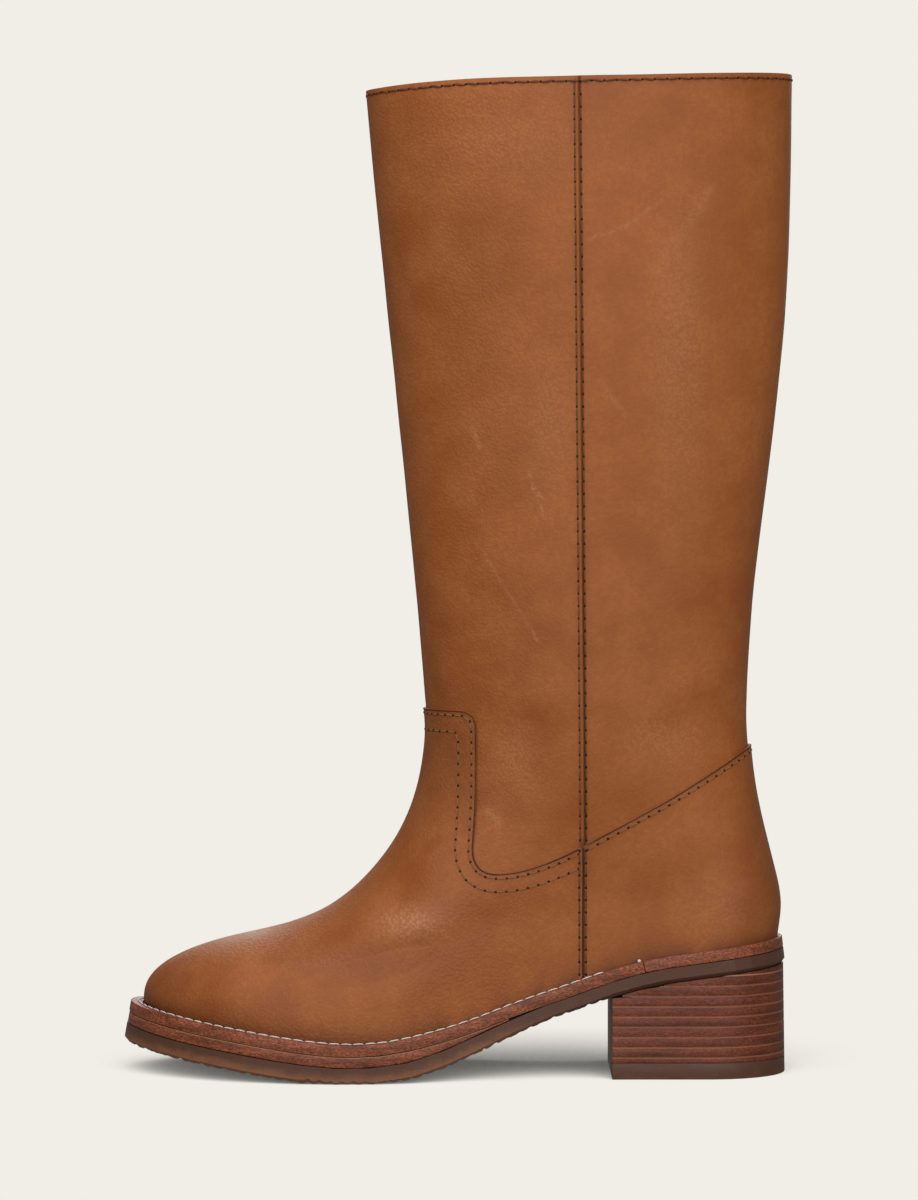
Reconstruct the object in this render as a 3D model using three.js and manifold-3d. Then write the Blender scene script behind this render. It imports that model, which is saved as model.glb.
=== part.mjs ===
// Knee-high pull-on boot for the left foot, on a stacked block heel.
// Millimetres, +Z up, toe towards -X, outer (lateral) side towards -Y.
// The origin is on the floor, under the centre of the boot's bounding box.
import * as THREE from "three";
import { mergeVertices } from "three/addons/utils/BufferGeometryUtils.js";
import Module from "manifold-3d";

const wasm = await Module();
wasm.setup();

// ---- driving dimensions -------------------------------------------------
const LAST = { toe: -124.6, heel: 129, toeLength: 46, heelRadius: 28.5 };
const WALL = 2.4; // leather and lining
const GAP = 0.3; // between curved pieces
const OVERLAY = 1.2; // thickness of vamp and counter, which lie on the upper
const PROUD = OVERLAY + GAP;
const LIFT_GAP = 0.1; // between flat heel lifts

const WELT = { thickness: 4.6, joint: 74.5 };
const INSOLE = { thickness: 3.2, drop: 0.9, clearance: 2.4 };
const MIDSOLE = { thickness: 4.4, taperFrom: -22, end: 20, edge: 0.8, runOut: 6, inset: 0.2 };
const OUTSOLE = { front: 7, back: 5.8, chamfer: 1.4 };
const HEEL = { breast: 62.5, lift: 4.03, topLift: 6.5, thinLift: 2, wedge: 3, inset: 0.6, reach: 1.1, flare: 0.5 };

const AROUND = 56; // points around the upper
const SOLE_AROUND = 60; // points around a sole outline

// Side view of the upper, one row for each girth line from its lower edge to the collar.
// sag is how much of the sole's dip the line follows.
const GIRTHS = [
  { frontX: -124.4, frontZ: 24.2, backX: 128.8, backZ: 50.6, sag: 1 },
  { frontX: -124.8, frontZ: 28.2, backX: 129.2, backZ: 54.6, sag: 1 },
  { frontX: -124.2, frontZ: 33.6, backX: 130.1, backZ: 60, sag: 1 },
  { frontX: -120.2, frontZ: 39.8, backX: 130.6, backZ: 65, sag: 0.92 },
  { frontX: -110.6, frontZ: 46.2, backX: 130.5, backZ: 69, sag: 0.8 },
  { frontX: -94, frontZ: 52.2, backX: 130, backZ: 73, sag: 0.66 },
  { frontX: -71, frontZ: 58, backX: 129.2, backZ: 77, sag: 0.5 },
  { frontX: -54, frontZ: 64.2, backX: 128.1, backZ: 81.5, sag: 0.35 },
  { frontX: -41.5, frontZ: 72, backX: 126.6, backZ: 87.5, sag: 0.2 },
  { frontX: -30.4, frontZ: 83, backX: 124.6, backZ: 95.5, sag: 0.1 },
  { frontX: -21.4, frontZ: 96.4, backX: 122.2, backZ: 105.5, sag: 0.04 },
  { frontX: -15, frontZ: 112, backX: 120, backZ: 117, sag: 0 },
  { frontX: -12, frontZ: 130, backX: 118.4, backZ: 131.5, sag: 0 },
  { frontX: -11.6, frontZ: 150, backX: 116.8, backZ: 152, sag: 0 },
  { frontX: -14.4, frontZ: 186, backX: 118.5, backZ: 187, sag: 0 },
  { frontX: -19.9, frontZ: 240, backX: 125.6, backZ: 242, sag: 0 },
  { frontX: -25.8, frontZ: 298, backX: 132.4, backZ: 301, sag: 0 },
  { frontX: -31, frontZ: 348, backX: 134.1, backZ: 352, sag: 0 },
  { frontX: -35.2, frontZ: 391, backX: 134.7, backZ: 397.6, sag: 0 },
];

// Top of the welt in side view: toe spring, ball, arch and heel seat.
const WELT_TOP = [
  { x: -131, z: 27.8 },
  { x: -109, z: 23.9 },
  { x: -85, z: 20.2 },
  { x: -61, z: 16.7 },
  { x: -43, z: 15.2 },
  { x: -27, z: 15.9 },
  { x: -11, z: 18.9 },
  { x: 5, z: 23.2 },
  { x: 22, z: 29.4 },
  { x: 47, z: 37.8 },
  { x: 64, z: 43.7 },
  { x: 78, z: 47.2 },
  { x: 98, z: 50.2 },
  { x: 132, z: 54.2 },
];

// The last from above: half width at the feather line, its middle, the middle of the ridge
// on top (both to the inner side), how far the sole stands out, and how round the section is.
const LAST_STATIONS = [
  { x: -125, half: 34, middle: 7, ridge: 7, sole: 5, round: 2.5 },
  { x: -100, half: 36.4, middle: 4.2, ridge: 6.6, sole: 5.3, round: 2.4 },
  { x: -75, half: 39.2, middle: 0.4, ridge: 6, sole: 5.4, round: 2.2 },
  { x: -45, half: 40.6, middle: -2.2, ridge: 5.4, sole: 5.2, round: 2 },
  { x: -20, half: 37.8, middle: -3, ridge: 4.6, sole: 4.8, round: 1.9 },
  { x: 5, half: 32, middle: -2.8, ridge: 3, sole: 4.3, round: 1.9 },
  { x: 35, half: 28.2, middle: -1.8, ridge: 1, sole: 3.8, round: 2 },
  { x: 65, half: 27.8, middle: -0.6, ridge: 0, sole: 3.2, round: 2 },
  { x: 95, half: 28.6, middle: 0, ridge: 0, sole: 2.8, round: 2 },
  { x: 130, half: 28.6, middle: 0, ridge: 0, sole: 2.3, round: 2 },
];

// The leg from the front: half width and where along the boot it is widest.
const LEG_STATIONS = [
  { z: 60, half: 31, widest: 74 },
  { z: 95, half: 33.5, widest: 60 },
  { z: 130, half: 35.6, widest: 54 },
  { z: 170, half: 36.4, widest: 51 },
  { z: 230, half: 37.8, widest: 51 },
  { z: 300, half: 40.4, widest: 52 },
  { z: 360, half: 41.8, widest: 51 },
  { z: 400, half: 42.2, widest: 50 },
];
const SECTION = { flat: 0.24, tuck: 0.035, throat: -14, throatRise: 4.2 };
const LEG_BLEND = { from: 66, to: 132 };

// Rows between which the upper comes out from under the overlays to the boot's full size.
const EMERGE = { from: 12.2, to: 13.2 };

// Side view of the overlays' edges. The vamp has a tab up the front with rounded corners, then
// dips and rises to the side seam; the counter's edge goes on from there up to the back.
const VAMP = {
  tabTop: 145.4, tabX: 9, tabCorner: 7, waistX: 7.6, waistZ: 91,
  lowX: 17.5, lowZ: 81, seamX: 50.8, seamZ: 91.6,
};
const COUNTER = { midX: 86, midZ: 110.8, backX: 118, backZ: 130 };
const BEYOND = 200; // clear of the boot on every side

// ---- curves -------------------------------------------------------------
// A smooth function through a table's rows: the slope at a row is that of the parabola
// through it and its neighbours.
function curveThrough(rows, from, to) {
  const xs = rows.map((row, i) => (from === "row" ? i : row[from]));
  const ys = rows.map((row) => row[to]);
  const last = xs.length - 1;
  const step = (i) => xs[i + 1] - xs[i];
  const rise = (i) => (ys[i + 1] - ys[i]) / step(i);
  const slopes = xs.map((_, i) => {
    if (i === 0) return rise(0);
    if (i === last) return rise(last - 1);
    return (step(i) * rise(i - 1) + step(i - 1) * rise(i)) / (step(i - 1) + step(i));
  });
  return (x) => {
    if (x <= xs[0]) return ys[0] + slopes[0] * (x - xs[0]);
    if (x >= xs[last]) return ys[last] + slopes[last] * (x - xs[last]);
    const i = xs.findIndex((_, n) => x < xs[n + 1]);
    const h = step(i);
    const t = (x - xs[i]) / h;
    const a = ys[i] * (1 + 2 * t) * (1 - t) ** 2 + ys[i + 1] * t * t * (3 - 2 * t);
    return a + h * t * (1 - t) * (slopes[i] * (1 - t) - slopes[i + 1] * t);
  };
}

const clamp01 = (t) => Math.min(1, Math.max(0, t));
const smooth = (t) => clamp01(t) ** 2 * (3 - 2 * clamp01(t));
const mix = (a, b, t) => a + (b - a) * t;
const arch = (t, power) => Math.sqrt(Math.max(0, 1 - Math.abs(1 - clamp01(t)) ** power));

const girth = Object.fromEntries(
  Object.keys(GIRTHS[0]).map((column) => [column, curveThrough(GIRTHS, "row", column)]),
);
const last = Object.fromEntries(
  Object.keys(LAST_STATIONS[0]).map((column) => [column, curveThrough(LAST_STATIONS, "x", column)]),
);
const legHalf = curveThrough(LEG_STATIONS, "z", "half");
const legWidest = curveThrough(LEG_STATIONS, "z", "widest");
const weltTop = curveThrough(WELT_TOP, "x", "z");

// Reads a side profile the other way round: where it is at a given height, or how high at a given x.
const PROFILE_STEPS = 1800;
function profile(columnX, columnZ) {
  const points = [];
  for (let i = 0; i <= PROFILE_STEPS; i++) {
    const row = (i / PROFILE_STEPS) * (GIRTHS.length - 1);
    points.push([girth[columnX](row), girth[columnZ](row)]);
  }
  return (value, from, to) => {
    const after = points.findIndex((p, i) => i > 0 && p[from] >= value);
    const [a, b] = after < 0 ? points.slice(-2) : [points[after - 1], points[after]];
    return mix(a[to], b[to], clamp01((value - a[from]) / (b[from] - a[from])));
  };
}
const front = profile("frontX", "frontZ");
const frontAt = (z) => front(z, 1, 0);
const throatTop = front(SECTION.throat, 0, 1);
const topAt = (x) =>
  x < SECTION.throat ? front(x, 0, 1) : throatTop + (x - SECTION.throat) * SECTION.throatRise;

// ---- the upper's form ---------------------------------------------------
const TOP_ROW = GIRTHS.length - 1;
const TOE_ROW = 2; // above this girth line the front profile leaves the toe
// Middle and half width of the upper at a point of its side view.
function breadth(x, z, toeX, heelX) {
  const low = weltTop(x);
  const h = clamp01((z - low) / (topAt(x) - low));
  const above = clamp01((h - SECTION.flat) / (1 - SECTION.flat));
  const below = 1 - Math.min(1, h / SECTION.flat);
  const section = arch(1 - above, last.round(x)) * (1 - SECTION.tuck * below ** 2);
  const ends = arch((x - toeX) / LAST.toeLength, 2.3) * arch((heelX - x) / LAST.heelRadius, 2);
  const foot = last.half(x) * section * ends;

  const widest = legWidest(z);
  const reach = x < widest ? widest - frontAt(z) : heelX - widest;
  const leg = legHalf(z) * arch(1 - Math.abs(x - widest) / reach, 2);

  const share = smooth((z - LEG_BLEND.from) / (LEG_BLEND.to - LEG_BLEND.from));
  return {
    middle: mix(mix(last.middle(x), last.ridge(x), h), 0, share),
    half: mix(foot, leg, share),
  };
}

// A point of the form: row counts girth lines, turn goes round from the toe by the outer side.
const chordOfSole = (x) =>
  mix(GIRTHS[1].frontZ, GIRTHS[1].backZ, (x - LAST.toe) / (LAST.heel - LAST.toe));
function formPoint(row, turn) {
  const along = (1 - Math.cos(turn)) / 2;
  const x = mix(girth.frontX(row), girth.backX(row), along);
  const ends = Math.sin(turn) ** 2;
  const dip = (weltTop(x) - chordOfSole(x)) * girth.sag(row) * smooth(ends * 3);
  const z = mix(girth.frontZ(row), girth.backZ(row), along) + dip;
  const { middle, half } = breadth(x, z, girth.frontX(Math.min(row, TOE_ROW)), girth.backX(row));
  const side = Math.sin(turn) > 0 ? -1 : 1;
  return new THREE.Vector3(x, middle + side * half, z);
}

// The same point moved inwards, square to the surface.
function formInside(row, turn, depth) {
  const d = 0.02;
  const across = formPoint(row, turn + d).sub(formPoint(row, turn - d));
  const up = formPoint(Math.min(row + d, TOP_ROW), turn).sub(formPoint(Math.max(row - d, 0), turn));
  const outwards = across.cross(up).normalize();
  return formPoint(row, turn).addScaledVector(outwards, -depth);
}

// ---- meshes -------------------------------------------------------------
function meshOf(name, points, faces, material) {
  const geometry = new THREE.BufferGeometry();
  geometry.setAttribute(
    "position",
    new THREE.Float32BufferAttribute(points.flatMap((p) => [p.x, p.y, p.z]), 3),
  );
  geometry.setIndex(faces.flat());
  geometry.computeVertexNormals();
  const mesh = new THREE.Mesh(geometry, material);
  mesh.name = name;
  return mesh;
}
const quad = (a, b, c, d) => [
  [a, b, c],
  [a, c, d],
];

// Joins sections, each a closed loop of points, one after the other. A ring comes back to its
// first section; otherwise the first and last sections, each of four points, close the ends.
function loft(name, sections, ring, material) {
  const size = sections[0].length;
  const faces = [];
  const joins = ring ? sections.length : sections.length - 1;
  for (let s = 0; s < joins; s++) {
    const here = s * size;
    const next = ((s + 1) % sections.length) * size;
    for (let i = 0; i < size; i++) {
      const j = (i + 1) % size;
      faces.push(...quad(next + i, next + j, here + j, here + i));
    }
  }
  if (!ring) {
    const end = (sections.length - 1) * size;
    faces.push(...quad(0, 1, 2, 3), ...quad(end + 3, end + 2, end + 1, end));
  }
  return meshOf(name, sections.flat(), faces, material);
}

// A plate from outline loops, top loop first, each mirrored about its own middle line:
// its flat sides are strips between point i and point n - 1 - i.
function plate(name, loops, material) {
  const n = loops[0].length;
  const faces = [];
  for (let l = 0; l + 1 < loops.length; l++)
    for (let i = 0; i < n; i++) {
      const j = (i + 1) % n;
      faces.push(...quad(l * n + i, (l + 1) * n + i, (l + 1) * n + j, l * n + j));
    }
  const bottom = (loops.length - 1) * n;
  for (let i = 0; i < n / 2 - 1; i++) {
    faces.push(...quad(i, i + 1, n - 2 - i, n - 1 - i));
    faces.push(...quad(bottom + n - 1 - i, bottom + n - 2 - i, bottom + i + 1, bottom + i));
  }
  return meshOf(name, loops.flat(), faces, material);
}

// ---- materials ----------------------------------------------------------
const leather = new THREE.MeshStandardMaterial({ color: 0xa3632e, roughness: 0.6 });
const edgeLeather = new THREE.MeshStandardMaterial({ color: 0x7a4030, roughness: 0.65 });
const heelLeather = new THREE.MeshStandardMaterial({ color: 0x6e3a2a, roughness: 0.6 });
const rubber = new THREE.MeshStandardMaterial({ color: 0x6b4f3d, roughness: 0.7 });
const lining = new THREE.MeshStandardMaterial({ color: 0xc79b6d, roughness: 0.8 });

// ---- upper --------------------------------------------------------------
const turns = Array.from({ length: AROUND }, (_, i) => ((i + 0.5) / AROUND) * 2 * Math.PI);
const steps = (from, to, count) =>
  Array.from({ length: count + 1 }, (_, i) => mix(from, to, i / count));
const sunk = (row) => PROUD * (1 - smooth((row - EMERGE.from) / (EMERGE.to - EMERGE.from)));

// One hollow wall from the insole's edge to the collar: at each turn its section runs up the
// outside and down the inside.
const rows = [...steps(0, 12, 15), 12.5, 12.9, ...steps(13.3, TOP_ROW, 7)];
function upper() {
  const inside = rows.toReversed();
  const sections = turns.map((turn) => [
    ...rows.map((row) => formInside(row, turn, sunk(row))),
    ...inside.map((row) => formInside(row, turn, sunk(row) + WALL)),
  ]);
  return loft("upper", sections, true, leather);
}

// ---- overlays -----------------------------------------------------------
function solidOf(mesh) {
  const geometry = mesh.geometry.clone();
  geometry.deleteAttribute("normal");
  geometry.deleteAttribute("uv");
  const merged = mergeVertices(geometry);
  return new wasm.Manifold(
    new wasm.Mesh({
      numProp: 3,
      vertProperties: new Float32Array(merged.attributes.position.array),
      triVerts: new Uint32Array(merged.index.array),
    }),
  );
}
function meshOfSolid(name, solid, material) {
  const { vertProperties, triVerts } = solid.getMesh();
  const geometry = new THREE.BufferGeometry();
  geometry.setAttribute("position", new THREE.BufferAttribute(new Float32Array(vertProperties), 3));
  geometry.setIndex(Array.from(triVerts));
  geometry.computeVertexNormals();
  const mesh = new THREE.Mesh(geometry, material);
  mesh.name = name;
  return mesh;
}

// The upper's own form, closed, with its surface this far outside the upper's.
function grownForm(grow, formRows) {
  const loops = formRows
    .toReversed()
    .map((row) => turns.map((turn) => formInside(row, turn, sunk(row) - grow)));
  return solidOf(plate("form", loops, leather));
}
function vampOutline() {
  const { tabTop, tabX, tabCorner, waistX, waistZ, lowX, lowZ, seamX, seamZ } = VAMP;
  const shape = new THREE.Shape();
  shape.moveTo(-BEYOND, -BEYOND);
  shape.lineTo(seamX, -BEYOND);
  shape.lineTo(seamX, seamZ);
  shape.quadraticCurveTo(mix(lowX, seamX, 0.4), lowZ, lowX, lowZ);
  shape.quadraticCurveTo(waistX, lowZ, waistX, waistZ);
  shape.quadraticCurveTo(tabX, mix(waistZ, tabTop, 0.3), tabX, mix(waistZ, tabTop, 0.5));
  shape.lineTo(tabX, tabTop - tabCorner);
  shape.quadraticCurveTo(tabX, tabTop, tabX - tabCorner, tabTop);
  shape.lineTo(-BEYOND, tabTop);
  return shape;
}
function counterOutline() {
  const { midX, midZ, backX, backZ } = COUNTER;
  const shape = new THREE.Shape();
  shape.moveTo(VAMP.seamX + GAP, -BEYOND);
  shape.lineTo(BEYOND, -BEYOND);
  shape.lineTo(BEYOND, backZ + (BEYOND - backX) / 3);
  shape.lineTo(backX, backZ);
  shape.lineTo(midX, midZ);
  shape.lineTo(VAMP.seamX + GAP, VAMP.seamZ);
  return shape;
}
function overlays() {
  const low = rows.filter((row) => row < 14);
  const shell = grownForm(PROUD, low).subtract(grownForm(GAP, [-0.8, ...low, 14.5]));
  return [
    ["vamp", vampOutline()],
    ["counter", counterOutline()],
  ].map(([name, outline]) => {
    const geometry = new THREE.ExtrudeGeometry(outline, {
      depth: BEYOND,
      bevelEnabled: false,
      curveSegments: 8,
    });
    geometry.rotateX(Math.PI / 2);
    geometry.translate(0, BEYOND / 2, 0);
    return meshOfSolid(name, shell.intersect(solidOf({ geometry })), leather);
  });
}

// ---- sole ---------------------------------------------------------------
// Depth under the welt's top of each layer's upper and lower face.
const taper = (x) => 1 - smooth((x - MIDSOLE.taperFrom) / (MIDSOLE.end - MIDSOLE.taperFrom));
const midsoleThickness = (x) => mix(MIDSOLE.edge, MIDSOLE.thickness, taper(x));
const outsoleTop = (x) =>
  WELT.thickness + mix(midsoleThickness(x), 0, smooth((x - MIDSOLE.end) / MIDSOLE.runOut));
const outsoleThickness = (x) => mix(OUTSOLE.front, OUTSOLE.back, smooth((x + 30) / 80));
const outsoleBottom = (x) => outsoleTop(x) + outsoleThickness(x);

// A point under the welt's top, measured square to it, never under the floor.
function solePoint(x, y, depth) {
  const slope = weltTop(x + 0.5) - weltTop(x - 0.5);
  const square = Math.hypot(1, slope);
  const z = weltTop(x) - depth / square;
  return new THREE.Vector3(x + (depth * slope) / square, y, Math.max(0, z));
}
// Outline of the sole (out = 1) or of the last's feather line (out = 0), grown by extra.
function outline(turn, out, extra) {
  const toe = LAST.toe - out * last.sole(LAST.toe) - extra;
  const heel = LAST.heel + out * last.sole(LAST.heel) + extra;
  const x = mix(toe, heel, (1 - Math.cos(turn)) / 2);
  const grow = out * last.sole(x) + extra;
  const ends =
    arch((x - toe) / (LAST.toeLength + grow), 2.3) * arch((heel - x) / (LAST.heelRadius + grow), 2);
  const side = Math.sin(turn) > 0 ? -1 : 1;
  return { x, y: last.middle(x) + side * (last.half(x) + grow) * ends };
}
const soleTurns = Array.from({ length: SOLE_AROUND }, (_, i) => ((i + 0.5) / SOLE_AROUND) * 2 * Math.PI);
const loopOf = (turnList, out, extra, depth) =>
  turnList.map((turn) => {
    const { x, y } = outline(turn, out, extra);
    return solePoint(x, y, depth(x));
  });

// Turn where the sole's outline passes the given x, on the outer side.
function turnAt(x) {
  const toe = LAST.toe - last.sole(LAST.toe);
  const heel = LAST.heel + last.sole(LAST.heel);
  return Math.acos(1 - (2 * (x - toe)) / (heel - toe));
}

// The welt and the heel rand are strips round the foot of the upper, butted at the waist.
function strip(name, fromTurn, toTurn, count, material) {
  const sections = steps(fromTurn, toTurn, count).map((turn) => {
    const outer = outline(turn, 1, 0);
    const inner = outline(turn, 0, GAP);
    return [
      solePoint(inner.x, inner.y, WELT.thickness - GAP),
      solePoint(outer.x, outer.y, WELT.thickness - GAP),
      solePoint(outer.x, outer.y, 0),
      solePoint(inner.x, inner.y, 0),
    ];
  });
  return loft(name, sections, false, material);
}

function insole() {
  const inside = -(PROUD + WALL + INSOLE.clearance);
  const top = INSOLE.drop;
  return plate(
    "insole",
    [top, top + INSOLE.thickness].map((depth) => loopOf(soleTurns, 0, inside, () => depth)),
    lining,
  );
}

// The midsole is a full plate under the forefoot, thinned to an edge in the waist.
function midsole() {
  const half = steps(0.05, turnAt(MIDSOLE.end), SOLE_AROUND / 2 - 8);
  const around = [...half, ...half.map((turn) => -turn).reverse()];
  const top = loopOf(around, 1, -MIDSOLE.inset, () => WELT.thickness);
  const bottom = loopOf(around, 1, -MIDSOLE.inset, (x) => WELT.thickness + midsoleThickness(x) - GAP);
  return plate("midsole", [top, bottom], edgeLeather);
}

function outsole() {
  const edge = OUTSOLE.chamfer;
  return plate(
    "outsole",
    [
      loopOf(soleTurns, 1, 0, outsoleTop),
      loopOf(soleTurns, 1, 0, (x) => outsoleBottom(x) - edge),
      loopOf(soleTurns, 1, -edge, outsoleBottom),
    ],
    rubber,
  );
}

// ---- heel ---------------------------------------------------------------
// Underside of the outsole at a given x over the heel.
function seatHeight(x) {
  let station = x;
  for (let i = 0; i < 8; i++) station += x - solePoint(station, 0, outsoleBottom(station)).x;
  return solePoint(station, 0, outsoleBottom(station)).z;
}
// One slice of the heel between two heights, straight across at the breast; where the sole
// slopes down through it, the slice starts further back.
function heelSlice(name, low, high, material) {
  const top = (x) => Math.min(high, seatHeight(x) - GAP);
  let breast = HEEL.breast;
  while (top(breast) - low < 0.5) breast += 0.5;
  const heel = LAST.heel + last.sole(LAST.heel) + HEEL.reach - HEEL.inset;
  const flare = (z) => HEEL.flare * (1 - z / 40);
  const count = 13;
  const loopAt = (height) => {
    const side = steps(0, 1, count).map((t) => {
      const x = mix(breast, heel - 0.04, Math.sin((t * Math.PI) / 2));
      const half = last.half(x) + last.sole(x) - HEEL.inset;
      return { x, y: half * arch((heel - x) / half, 2) };
    });
    const point = ({ x, y }, sign) => {
      const z = height(x);
      return new THREE.Vector3(x + (x > breast ? flare(z) : 0), last.middle(x) + sign * (y + flare(z)), z);
    };
    return [...side.map((p) => point(p, -1)), ...side.toReversed().map((p) => point(p, 1))];
  };
  return plate(name, [loopAt(top), loopAt(() => low)], material);
}

function heel() {
  const pieces = [heelSlice("heel_top_lift", 0, HEEL.topLift - LIFT_GAP, rubber)];
  let low = HEEL.topLift;
  let high = low + HEEL.thinLift;
  const seat = seatHeight(LAST.heel);
  for (let i = 1; low < seat - HEEL.wedge; i++) {
    const top = high > seat - HEEL.wedge ? seat : high - LIFT_GAP;
    pieces.push(heelSlice(`heel_lift_${i}`, low, top, heelLeather));
    low = high;
    high += HEEL.lift;
  }
  return pieces;
}

// ---- assembly -----------------------------------------------------------
const boot = new THREE.Group();
boot.add(
  upper(),
  ...overlays(),
  strip("welt", -turnAt(WELT.joint), turnAt(WELT.joint), 48, edgeLeather),
  strip("heel_rand", turnAt(WELT.joint + GAP), 2 * Math.PI - turnAt(WELT.joint + GAP), 20, edgeLeather),
  insole(),
  midsole(),
  outsole(),
  ...heel(),
);
const box = new THREE.Box3().setFromObject(boot);
const centre = box.getCenter(new THREE.Vector3());
boot.position.set(-centre.x, -centre.y, -box.min.z);

export default boot;
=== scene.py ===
# Looks of a tan knee-high boot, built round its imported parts.
import math
import random

import bpy
from mathutils import Matrix, Vector, noise
from mathutils.bvhtree import BVHTree


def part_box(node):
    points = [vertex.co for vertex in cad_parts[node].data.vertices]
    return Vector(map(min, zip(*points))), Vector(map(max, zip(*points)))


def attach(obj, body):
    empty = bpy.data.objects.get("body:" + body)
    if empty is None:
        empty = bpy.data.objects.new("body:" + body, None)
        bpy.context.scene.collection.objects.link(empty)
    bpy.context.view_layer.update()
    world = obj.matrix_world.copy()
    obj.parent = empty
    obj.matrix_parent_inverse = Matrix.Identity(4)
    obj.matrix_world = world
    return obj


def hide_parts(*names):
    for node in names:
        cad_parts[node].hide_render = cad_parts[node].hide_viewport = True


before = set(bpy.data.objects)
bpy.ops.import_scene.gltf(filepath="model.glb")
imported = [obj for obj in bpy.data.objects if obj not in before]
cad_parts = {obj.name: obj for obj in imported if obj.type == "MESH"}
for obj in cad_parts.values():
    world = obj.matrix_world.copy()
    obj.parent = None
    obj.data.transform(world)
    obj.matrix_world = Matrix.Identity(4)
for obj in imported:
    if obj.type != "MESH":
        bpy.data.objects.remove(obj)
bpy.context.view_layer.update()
mm = 0.001
random.seed(7)


# small helpers for shaping
def onlySelect(*pieces):
    if bpy.context.object and bpy.context.object.mode != "OBJECT":
        bpy.ops.object.mode_set(mode="OBJECT")
    bpy.ops.object.select_all(action="DESELECT")
    for piece in pieces:
        piece.hide_set(False)
        piece.select_set(True)
    bpy.context.view_layer.objects.active = pieces[0]


def editAll():
    bpy.ops.object.mode_set(mode="EDIT")
    bpy.ops.mesh.select_all(action="SELECT")


def leaveEdit():
    bpy.ops.object.mode_set(mode="OBJECT")


def divide(at, across):
    # one more edge loop where this plane meets the active piece
    editAll()
    bpy.ops.mesh.bisect(plane_co=at, plane_no=across)
    leaveEdit()


def copyOf(source, name):
    piece = source.copy()
    piece.data = source.data.copy()
    piece.name = piece.data.name = name
    piece.parent = None
    piece.matrix_world = Matrix.Identity(4)
    bpy.context.scene.collection.objects.link(piece)
    return piece


def copyOfNode(node, name):
    piece = copyOf(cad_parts[node], name)
    piece.data.materials.clear()
    onlySelect(piece)
    editAll()
    bpy.ops.mesh.remove_doubles(threshold=0.01 * mm)
    bpy.ops.mesh.normals_make_consistent(inside=False)
    leaveEdit()
    if "custom_normal" in piece.data.attributes:
        piece.data.attributes.remove(piece.data.attributes["custom_normal"])
    return piece


def applyModifier(piece, kind, **settings):
    onlySelect(piece)
    mod = piece.modifiers.new(kind.lower(), kind)
    for key, value in settings.items():
        setattr(mod, key, value)
    bpy.ops.object.modifier_apply(modifier=mod.name)


def roundCorners(piece, width, segments, degrees):
    limits = {"limit_method": "ANGLE", "angle_limit": math.radians(degrees)}
    applyModifier(piece, "BEVEL", width=width * mm, segments=segments, **limits)


def selectFaces(piece, wanted):
    onlySelect(piece)
    bpy.ops.object.mode_set(mode="EDIT")
    bpy.ops.mesh.select_all(action="DESELECT")
    leaveEdit()
    for face in piece.data.polygons:
        face.select = wanted(face)
    bpy.ops.object.mode_set(mode="EDIT")
    bpy.ops.mesh.select_mode(type="FACE")


def smooth(piece, degrees):
    onlySelect(piece)
    bpy.ops.object.shade_smooth_by_angle(angle=math.radians(degrees))


def treeOf(piece):
    return BVHTree.FromPolygons(
        [v.co.copy() for v in piece.data.vertices],
        [list(p.vertices) for p in piece.data.polygons],
    )


def bump(t):
    return math.exp(-t * t)


def finished(piece, node, slotName, *materials):
    for mat in materials:
        piece.data.materials.append(mat)
    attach(piece, "root")
    if node:
        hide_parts(node)


# shader helpers
def newMaterial(name, roughness, **sockets):
    mat = bpy.data.materials.new(name)
    mat.use_nodes = True
    shader = mat.node_tree.nodes["Principled BSDF"]
    shader.inputs["Roughness"].default_value = roughness
    for socket, value in sockets.items():
        shader.inputs[socket.replace("_", " ")].default_value = value
    return mat, mat.node_tree, shader


def put(tree, kind, **values):
    node = tree.nodes.new("ShaderNode" + kind)
    for key, value in values.items():
        setattr(node, key, value)
    return node


def setIn(node, **values):
    for key, value in values.items():
        node.inputs[key.replace("_", " ")].default_value = value


def wire(tree, output, target):
    tree.links.new(output, target)


def mathNode(tree, operation, a, b=None, clamp=False):
    node = put(tree, "Math", operation=operation, use_clamp=clamp)
    for i, value in enumerate((a, b)):
        if value is None:
            continue
        if isinstance(value, (int, float)):
            node.inputs[i].default_value = value
        else:
            wire(tree, value, node.inputs[i])
    return node.outputs[0]


def vectorNode(tree, operation, a, b):
    node = put(tree, "VectorMath", operation=operation)
    wire(tree, a, node.inputs[0])
    wire(tree, b, node.inputs["Scale" if operation == "SCALE" else 1])
    return node.outputs["Value" if operation in ("DOT_PRODUCT", "DISTANCE") else "Vector"]


def mixColor(tree, factor, a, b):
    node = put(tree, "Mix", data_type="RGBA")
    for i, value in ((0, factor), (6, a), (7, b)):
        if isinstance(value, (int, float)):
            node.inputs[i].default_value = value
        elif isinstance(value, tuple):
            node.inputs[i].default_value = (*value, 1)
        else:
            wire(tree, value, node.inputs[i])
    return node.outputs[2]


def ramp(tree, value, low, high, toLow=0.0, toHigh=1.0):
    node = put(tree, "MapRange", interpolation_type="SMOOTHSTEP")
    setIn(node, From_Min=low, From_Max=high, To_Min=toLow, To_Max=toHigh)
    wire(tree, value, node.inputs["Value"])
    return node.outputs["Result"]


def newGroup(name, inputs, outputs):
    group = bpy.data.node_groups.new(name, "ShaderNodeTree")
    for socket, kind, default in inputs:
        made = group.interface.new_socket(name=socket, in_out="INPUT", socket_type="NodeSocket" + kind)
        made.default_value = default
    for socket, kind in outputs:
        group.interface.new_socket(name=socket, in_out="OUTPUT", socket_type="NodeSocket" + kind)
    return group, group.nodes.new("NodeGroupInput"), group.nodes.new("NodeGroupOutput")


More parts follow.
